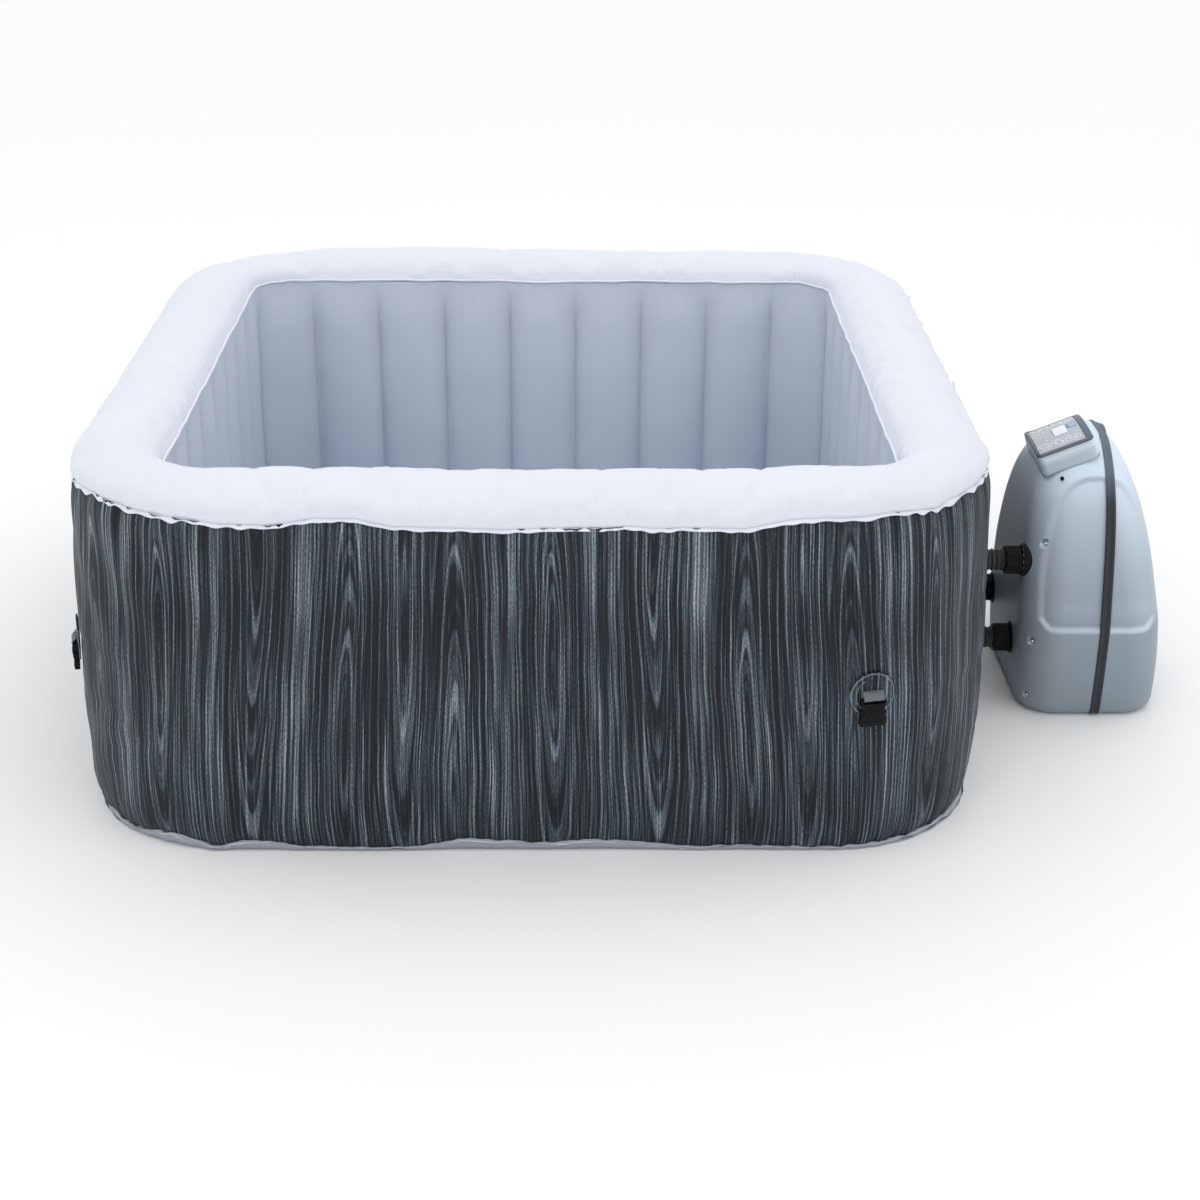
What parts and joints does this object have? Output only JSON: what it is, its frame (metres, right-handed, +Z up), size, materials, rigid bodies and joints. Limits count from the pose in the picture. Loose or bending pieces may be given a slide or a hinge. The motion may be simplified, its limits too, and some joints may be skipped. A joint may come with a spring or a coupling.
{
  "type": "inflatable hot tub",
  "caption": "Square inflatable hot tub with a wood-print wall and white rim, joined by hoses to a free-standing heater, filter pump and air blower unit.",
  "frame": {"origin": "centre of the tub's square footprint, on the ground", "axes": "+Z up, +X from the tub towards the heater unit, -Y towards the side with the front buckle"},
  "size_m": [1.976, 1.5748, 0.645],
  "materials": {
    "wood_print": "satin printed PVC, black and grey wood grain",
    "patch_vinyl": "satin printed PVC patch",
    "rim_white": "satin white PVC",
    "liner_grey": "satin grey PVC",
    "web_grey": "plain",
    "base_grey": "matt grey PVC",
    "foam": "foam",
    "black_plastic": "satin",
    "hose_black": "satin",
    "shell_grey": "satin moulded plastic",
    "strip_dark": "matt rubber",
    "bezel_dark": "satin",
    "overlay_grey": "membrane film",
    "display_white": "clear window over a pale display",
    "button_white": "printed membrane keys",
    "white_plastic": "satin",
    "filter_paper": "pleated paper",
    "steel": "bare",
    "motor_dark": "satin"
  },
  "bodies": {
    "root": {"air_blower": "motor_dark", "air_duct": "liner_grey", "air_fitting": "black_plastic", "air_hose": "hose_black", "air_valve_body": "black_plastic", "base_plate": "strip_dark", "bubble_ring": "liner_grey", "buckle_patch_front": "patch_vinyl", "buckle_patch_left": "patch_vinyl", "buckle_patch_rear": "patch_vinyl", "buckle_patch_right": "patch_vinyl", "case_screw_1": "steel", "case_screw_2": "steel", "case_screw_3": "steel", "case_screw_4": "steel", "control_bezel": "bezel_dark", "control_box": "bezel_dark", "control_overlay": "overlay_grey", "display_window": "display_white", "drain_valve_body": "black_plastic", "filter_housing": "white_plastic", "floor_pad": "foam", "ground_sheet": "base_grey", "heater_tube": "steel", "inlet_fitting": "black_plastic", "inlet_hose": "hose_black", "inner_wall": "liner_grey", "liner_floor": "liner_grey", "outer_shell": "shell_grey", "outer_wall": "wood_print", "outlet_fitting": "black_plastic", "outlet_hose": "hose_black", "power_cord": "black_plastic", "pump_motor": "motor_dark", "pump_volute": "black_plastic", "return_grille": "white_plastic", "seam_strip": "strip_dark", "tension_webs": "web_grey", "top_rim": "rim_white", "transfer_pipe": "black_plastic", "tub_side_shell": "shell_grey"},
    "buckle_front": {"buckle_front": "black_plastic"},
    "buckle_right": {"buckle_right": "black_plastic"},
    "buckle_rear": {"buckle_rear": "black_plastic"},
    "buckle_left": {"buckle_left": "black_plastic"},
    "outlet_nut": {"outlet_nut": "hose_black"},
    "inlet_nut": {"inlet_nut": "hose_black"},
    "air_nut": {"air_nut": "hose_black"},
    "air_valve_cap": {"air_valve_cap": "black_plastic"},
    "drain_valve_cap": {"drain_valve_cap": "black_plastic"},
    "pump_impeller": {"pump_impeller": "white_plastic"},
    "blower_fan": {"blower_fan": "white_plastic"},
    "filter": {"filter_cap": "white_plastic", "filter_cartridge": "filter_paper"},
    "button_1": {"button_1": "button_white"},
    "button_2": {"button_2": "button_white"},
    "button_3": {"button_3": "button_white"},
    "button_4": {"button_4": "button_white"},
    "button_5": {"button_5": "button_white"},
    "button_6": {"button_6": "button_white"}
  },
  "joints": [
    {"name": "buckle_front_swing", "type": "hinge", "parent": "root", "child": "buckle_front", "pos_m": [0.55248, -0.77783, 0.2905], "axis": [0.9745, 0.2246, 0], "range_deg": [-100, 0]},
    {"name": "buckle_right_swing", "type": "hinge", "parent": "root", "child": "buckle_right", "pos_m": [0.77783, 0.55248, 0.2905], "axis": [-0.2246, 0.9745, 0], "range_deg": [-100, 0]},
    {"name": "buckle_rear_swing", "type": "hinge", "parent": "root", "child": "buckle_rear", "pos_m": [-0.55248, 0.77783, 0.2905], "axis": [-0.9745, -0.2246, 0], "range_deg": [-100, 0]},
    {"name": "buckle_left_swing", "type": "hinge", "parent": "root", "child": "buckle_left", "pos_m": [-0.77783, -0.55248, 0.2905], "axis": [0.2246, -0.9745, 0], "range_deg": [-100, 0]},
    {"name": "outlet_nut_turn", "type": "hinge", "parent": "root", "child": "outlet_nut", "pos_m": [0.888, -0.19, 0.29], "axis": [1, 0, 0], "continuous": true},
    {"name": "inlet_nut_turn", "type": "hinge", "parent": "root", "child": "inlet_nut", "pos_m": [0.888, -0.15, 0.112], "axis": [1, 0, 0], "continuous": true},
    {"name": "air_nut_turn", "type": "hinge", "parent": "root", "child": "air_nut", "pos_m": [0.888, 0.045, 0.132], "axis": [1, 0, 0], "continuous": true},
    {"name": "air_valve_cap_turn", "type": "hinge", "parent": "root", "child": "air_valve_cap", "pos_m": [-0.79, 0.18, 0.44], "axis": [1, 0, 0], "continuous": true},
    {"name": "drain_valve_cap_turn", "type": "hinge", "parent": "root", "child": "drain_valve_cap", "pos_m": [-0.79, 0.26, 0.07], "axis": [1, 0, 0], "continuous": true},
    {"name": "impeller_spin", "type": "hinge", "parent": "root", "child": "pump_impeller", "pos_m": [0.97, -0.15, 0.112], "axis": [1, 0, 0], "continuous": true},
    {"name": "blower_fan_spin", "type": "hinge", "parent": "root", "child": "blower_fan", "pos_m": [0.98, 0.045, 0.132], "axis": [1, 0, 0], "continuous": true},
    {"name": "filter_pull", "type": "slide", "parent": "root", "child": "filter", "axis": [-1, 0, 0], "range_m": [0, 0.12]},
    {"name": "button_1_press", "type": "slide", "parent": "root", "child": "button_1", "axis": [0.3746, 0, -0.9272], "range_m": [0, 0.0008], "stiffness_N_per_m": 900},
    {"name": "button_2_press", "type": "slide", "parent": "root", "child": "button_2", "axis": [0.3746, 0, -0.9272], "range_m": [0, 0.0008], "stiffness_N_per_m": 900},
    {"name": "button_3_press", "type": "slide", "parent": "root", "child": "button_3", "axis": [0.3746, 0, -0.9272], "range_m": [0, 0.0008], "stiffness_N_per_m": 900},
    {"name": "button_4_press", "type": "slide", "parent": "root", "child": "button_4", "axis": [0.3746, 0, -0.9272], "range_m": [0, 0.0008], "stiffness_N_per_m": 900},
    {"name": "button_5_press", "type": "slide", "parent": "root", "child": "button_5", "axis": [0.3746, 0, -0.9272], "range_m": [0, 0.0008], "stiffness_N_per_m": 900},
    {"name": "button_6_press", "type": "slide", "parent": "root", "child": "button_6", "axis": [0.3746, 0, -0.9272], "range_m": [0, 0.0008], "stiffness_N_per_m": 900}
  ]
}
